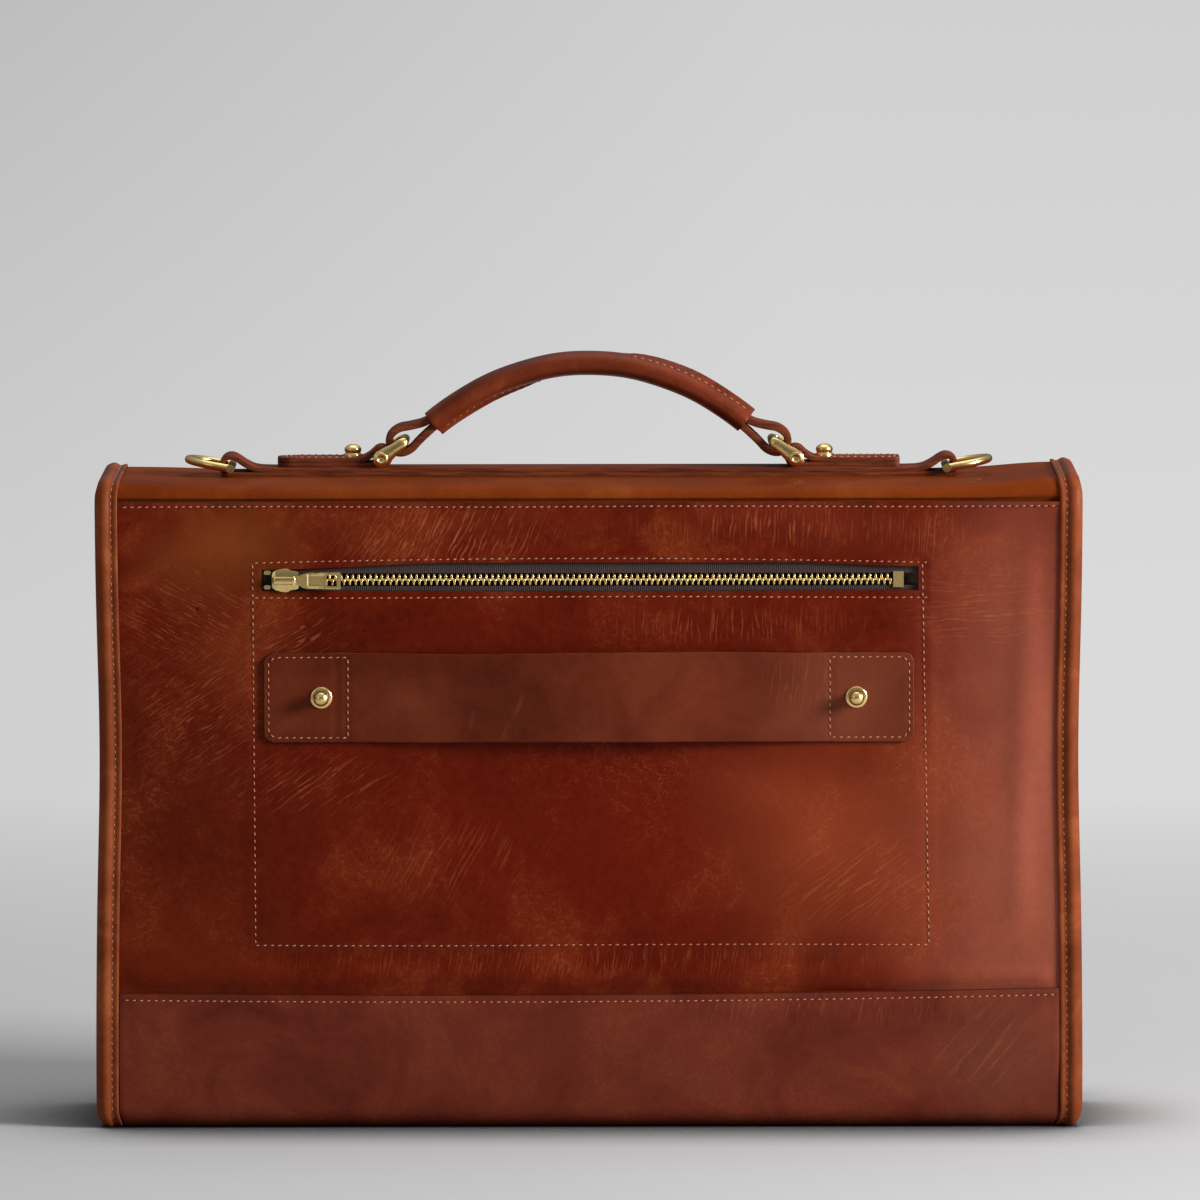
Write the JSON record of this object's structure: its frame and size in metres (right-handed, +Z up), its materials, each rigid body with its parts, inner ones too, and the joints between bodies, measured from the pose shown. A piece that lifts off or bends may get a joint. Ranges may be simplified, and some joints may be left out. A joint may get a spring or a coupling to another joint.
{
  "type": "leather briefcase",
  "caption": "Soft leather briefcase with a full flap, arched grip handle on brass shackles, strap rings, rear zip pocket and a sleeve for a trolley case.",
  "frame": {"origin": "on the floor, under the middle of the briefcase's box", "axes": "+X to the right as the back is seen, +Y towards the flap's front, +Z up"},
  "size_m": [0.432, 0.129, 0.3363],
  "materials": {
    "panel_leather": "satin",
    "base_leather": "satin",
    "top_leather": "satin",
    "binding_leather": "satin",
    "sleeve_leather": "satin",
    "strap_leather": "satin",
    "grip_leather": "satin",
    "brass": "polished",
    "zip_tape": "woven",
    "lining_cloth": "woven",
    "stiffener_board": "matt",
    "grip_filler": "matt"
  },
  "bodies": {
    "root": {"back_panel": "panel_leather", "back_seam_hem": "top_leather", "bottom_band": "base_leather", "base_board": "stiffener_board", "front_panel": "panel_leather", "front_pocket": "panel_leather", "gusset_left": "panel_leather", "gusset_right": "panel_leather", "binding_left": "binding_leather", "binding_right": "binding_leather", "divider": "base_leather", "pocket_pouch": "lining_cloth", "zip_tape_upper": "zip_tape", "zip_tape_lower": "zip_tape", "zip_teeth_upper": "brass", "zip_teeth_lower": "brass", "zip_top_stops": "brass", "zip_bottom_stop": "brass", "trolley_sleeve": "sleeve_leather", "sleeve_studs": "brass", "sleeve_stud_screws": "brass", "lock_base": "brass"},
    "zip_slider": {"zip_slider": "brass"},
    "zip_pull": {"zip_pull": "brass"},
    "lock_toggle": {"lock_toggle": "brass"},
    "flap_top": {"top_panel": "top_leather", "top_board": "stiffener_board", "top_binding_left": "binding_leather", "top_binding_right": "binding_leather", "base_strap": "strap_leather", "handle_tab_left": "strap_leather", "handle_tab_right": "strap_leather", "tab_studs": "brass", "tab_stud_screws": "brass"},
    "flap_front": {"flap_panel": "panel_leather", "flap_hem": "top_leather", "flap_binding": "binding_leather", "lock_plate": "brass", "lock_plate_rivets": "brass"},
    "d_ring_left": {"d_ring_left": "brass"},
    "d_ring_right": {"d_ring_right": "brass"},
    "shackle_left": {"shackle_left": "brass", "shackle_pin_left": "brass"},
    "shackle_right": {"shackle_right": "brass", "shackle_pin_right": "brass"},
    "handle": {"handle_strap": "strap_leather", "handle_filler": "grip_filler", "handle_grip": "grip_leather"}
  },
  "joints": [
    {"name": "zip_slide", "type": "slide", "parent": "root", "child": "zip_slider", "axis": [1, 0, 0], "range_m": [0, 0.258], "deforming": ["zip_teeth_upper", "zip_teeth_lower"]},
    {"name": "zip_pull_swing", "type": "hinge", "parent": "zip_slider", "child": "zip_pull", "pos_m": [-0.1295, -0.05745, 0.241], "axis": [0, 0, -1], "range_deg": [0, 150]},
    {"name": "lock_turn", "type": "hinge", "parent": "root", "child": "lock_toggle", "pos_m": [0, 0.05905, 0.088], "axis": [0, 1, 0], "range_deg": [0, 90]},
    {"name": "flap_top_hinge", "type": "hinge", "parent": "root", "child": "flap_top", "pos_m": [0, -0.05455, 0.2762], "axis": [1, 0, 0], "range_deg": [0, 130]},
    {"name": "flap_front_hinge", "type": "hinge", "parent": "flap_top", "child": "flap_front", "pos_m": [0, 0.05905, 0.2762], "axis": [1, 0, 0], "range_deg": [0, 100]},
    {"name": "d_ring_left_swing", "type": "hinge", "parent": "flap_top", "child": "d_ring_left", "pos_m": [-0.1576, 0.00225, 0.28685], "axis": [0, 1, 0], "range_deg": [0, 130]},
    {"name": "d_ring_right_swing", "type": "hinge", "parent": "flap_top", "child": "d_ring_right", "pos_m": [0.1576, 0.00225, 0.28685], "axis": [0, -1, 0], "range_deg": [0, 130]},
    {"name": "handle_lift", "type": "slide", "parent": "flap_top", "child": "handle", "axis": [0, 0, 1], "range_m": [0, 0.003]},
    {"name": "shackle_left_swing", "type": "hinge", "parent": "flap_top", "child": "shackle_left", "pos_m": [-0.0912, 0.00225, 0.29105], "axis": [0, -1, 0], "range_deg": [0, 17.5]},
    {"name": "shackle_right_swing", "type": "hinge", "parent": "flap_top", "child": "shackle_right", "pos_m": [0.0912, 0.00225, 0.29105], "axis": [0, 1, 0], "range_deg": [0, 17.5]}
  ],
  "couplings": [
    {"joint": "shackle_left_swing", "follows": "handle_lift", "rad_per_m": 98.9},
    {"joint": "shackle_right_swing", "follows": "handle_lift", "rad_per_m": 98.9}
  ]
}
